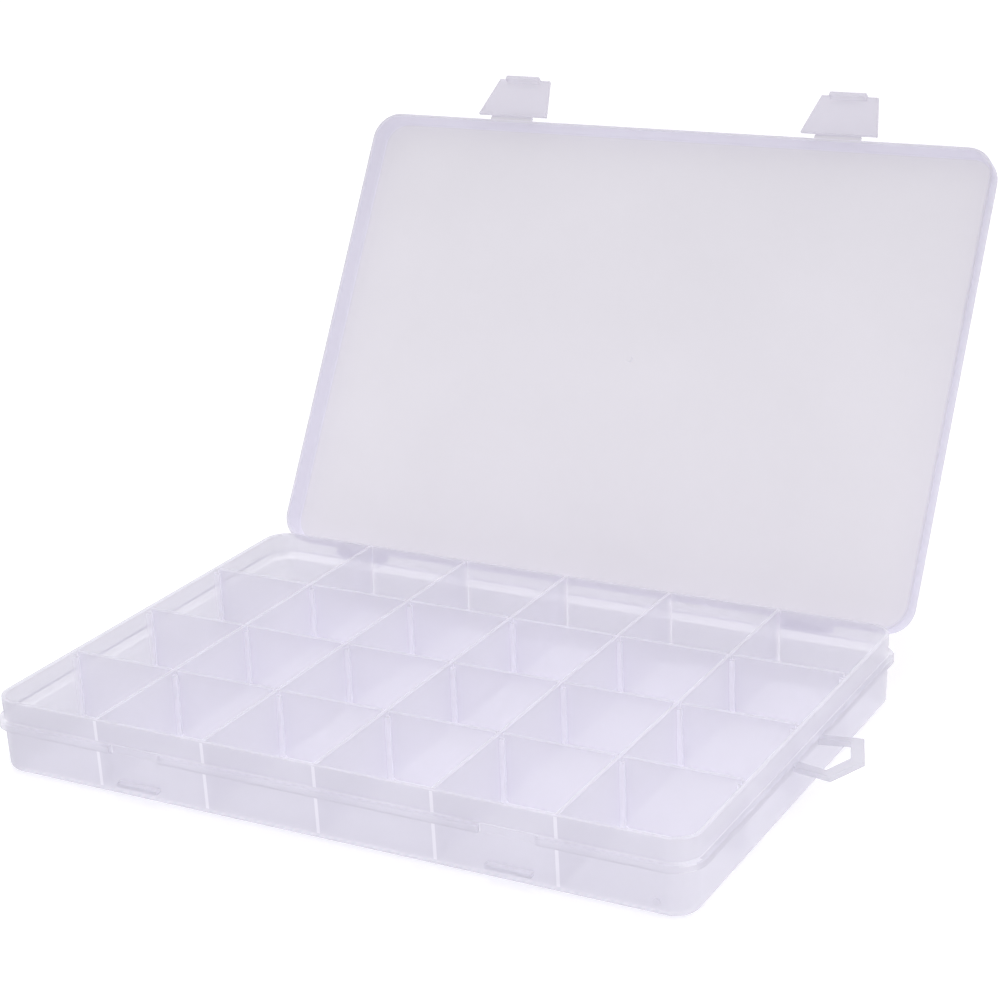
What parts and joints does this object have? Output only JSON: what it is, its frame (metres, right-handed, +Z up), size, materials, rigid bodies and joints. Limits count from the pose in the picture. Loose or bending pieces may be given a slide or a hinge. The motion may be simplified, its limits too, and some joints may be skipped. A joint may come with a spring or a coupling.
{
  "type": "compartment box",
  "caption": "Flat translucent compartment box for small parts, with a hinged lid open on its stops, lift-out dividers, two fold-over latches and a hang loop.",
  "frame": {"origin": "centre of the tray's flat underside, on the surface that it stands on", "axes": "+Z up out of the tray; +X along the long side, towards the hang loop; +Y towards the hinges"},
  "size_m": [0.2087, 0.2161, 0.1436],
  "materials": {
    "tray_plastic": "frosted translucent polypropylene, fine matt texture",
    "divider_plastic": "frosted translucent polypropylene, fine matt texture",
    "lid_plastic": "frosted translucent polypropylene, fine matt texture",
    "latch_plastic": "frosted translucent polypropylene, fine matt texture"
  },
  "bodies": {
    "tray": {"tray": "tray_plastic"},
    "lid": {"lid": "lid_plastic"},
    "latch_left": {"latch_left": "latch_plastic"},
    "latch_right": {"latch_right": "latch_plastic"},
    "divider_row1_col1": {"divider_row1_col1": "divider_plastic"},
    "divider_row1_col2": {"divider_row1_col2": "divider_plastic"},
    "divider_row1_col3": {"divider_row1_col3": "divider_plastic"},
    "divider_row1_col4": {"divider_row1_col4": "divider_plastic"},
    "divider_row1_col5": {"divider_row1_col5": "divider_plastic"},
    "divider_row1_col6": {"divider_row1_col6": "divider_plastic"},
    "divider_row2_col1": {"divider_row2_col1": "divider_plastic"},
    "divider_row2_col2": {"divider_row2_col2": "divider_plastic"},
    "divider_row2_col3": {"divider_row2_col3": "divider_plastic"},
    "divider_row2_col4": {"divider_row2_col4": "divider_plastic"},
    "divider_row2_col5": {"divider_row2_col5": "divider_plastic"},
    "divider_row2_col6": {"divider_row2_col6": "divider_plastic"},
    "divider_row3_col1": {"divider_row3_col1": "divider_plastic"},
    "divider_row3_col2": {"divider_row3_col2": "divider_plastic"},
    "divider_row3_col3": {"divider_row3_col3": "divider_plastic"},
    "divider_row3_col4": {"divider_row3_col4": "divider_plastic"},
    "divider_row3_col5": {"divider_row3_col5": "divider_plastic"},
    "divider_row3_col6": {"divider_row3_col6": "divider_plastic"}
  },
  "joints": [
    {"name": "lid_hinge", "type": "hinge", "parent": "tray", "child": "lid", "pos_m": [0, 0.0687, 0.015], "axis": [-1, 0, 0], "range_deg": [-121, 0]},
    {"name": "latch_left_fold", "type": "hinge", "parent": "lid", "child": "latch_left", "pos_m": [-0.0514, 0.13904, 0.13245], "axis": [-1, 0, 0], "range_deg": [-104, 30]},
    {"name": "latch_right_fold", "type": "hinge", "parent": "lid", "child": "latch_right", "pos_m": [0.0514, 0.13904, 0.13245], "axis": [-1, 0, 0], "range_deg": [-104, 30]},
    {"name": "divider_row1_col1_lift", "type": "slide", "parent": "tray", "child": "divider_row1_col1", "axis": [0, 0, 1], "range_m": [0, 0.022]},
    {"name": "divider_row1_col2_lift", "type": "slide", "parent": "tray", "child": "divider_row1_col2", "axis": [0, 0, 1], "range_m": [0, 0.022]},
    {"name": "divider_row1_col3_lift", "type": "slide", "parent": "tray", "child": "divider_row1_col3", "axis": [0, 0, 1], "range_m": [0, 0.022]},
    {"name": "divider_row1_col4_lift", "type": "slide", "parent": "tray", "child": "divider_row1_col4", "axis": [0, 0, 1], "range_m": [0, 0.022]},
    {"name": "divider_row1_col5_lift", "type": "slide", "parent": "tray", "child": "divider_row1_col5", "axis": [0, 0, 1], "range_m": [0, 0.022]},
    {"name": "divider_row1_col6_lift", "type": "slide", "parent": "tray", "child": "divider_row1_col6", "axis": [0, 0, 1], "range_m": [0, 0.022]},
    {"name": "divider_row2_col1_lift", "type": "slide", "parent": "tray", "child": "divider_row2_col1", "axis": [0, 0, 1], "range_m": [0, 0.022]},
    {"name": "divider_row2_col2_lift", "type": "slide", "parent": "tray", "child": "divider_row2_col2", "axis": [0, 0, 1], "range_m": [0, 0.022]},
    {"name": "divider_row2_col3_lift", "type": "slide", "parent": "tray", "child": "divider_row2_col3", "axis": [0, 0, 1], "range_m": [0, 0.022]},
    {"name": "divider_row2_col4_lift", "type": "slide", "parent": "tray", "child": "divider_row2_col4", "axis": [0, 0, 1], "range_m": [0, 0.022]},
    {"name": "divider_row2_col5_lift", "type": "slide", "parent": "tray", "child": "divider_row2_col5", "axis": [0, 0, 1], "range_m": [0, 0.022]},
    {"name": "divider_row2_col6_lift", "type": "slide", "parent": "tray", "child": "divider_row2_col6", "axis": [0, 0, 1], "range_m": [0, 0.022]},
    {"name": "divider_row3_col1_lift", "type": "slide", "parent": "tray", "child": "divider_row3_col1", "axis": [0, 0, 1], "range_m": [0, 0.022]},
    {"name": "divider_row3_col2_lift", "type": "slide", "parent": "tray", "child": "divider_row3_col2", "axis": [0, 0, 1], "range_m": [0, 0.022]},
    {"name": "divider_row3_col3_lift", "type": "slide", "parent": "tray", "child": "divider_row3_col3", "axis": [0, 0, 1], "range_m": [0, 0.022]},
    {"name": "divider_row3_col4_lift", "type": "slide", "parent": "tray", "child": "divider_row3_col4", "axis": [0, 0, 1], "range_m": [0, 0.022]},
    {"name": "divider_row3_col5_lift", "type": "slide", "parent": "tray", "child": "divider_row3_col5", "axis": [0, 0, 1], "range_m": [0, 0.022]},
    {"name": "divider_row3_col6_lift", "type": "slide", "parent": "tray", "child": "divider_row3_col6", "axis": [0, 0, 1], "range_m": [0, 0.022]}
  ]
}
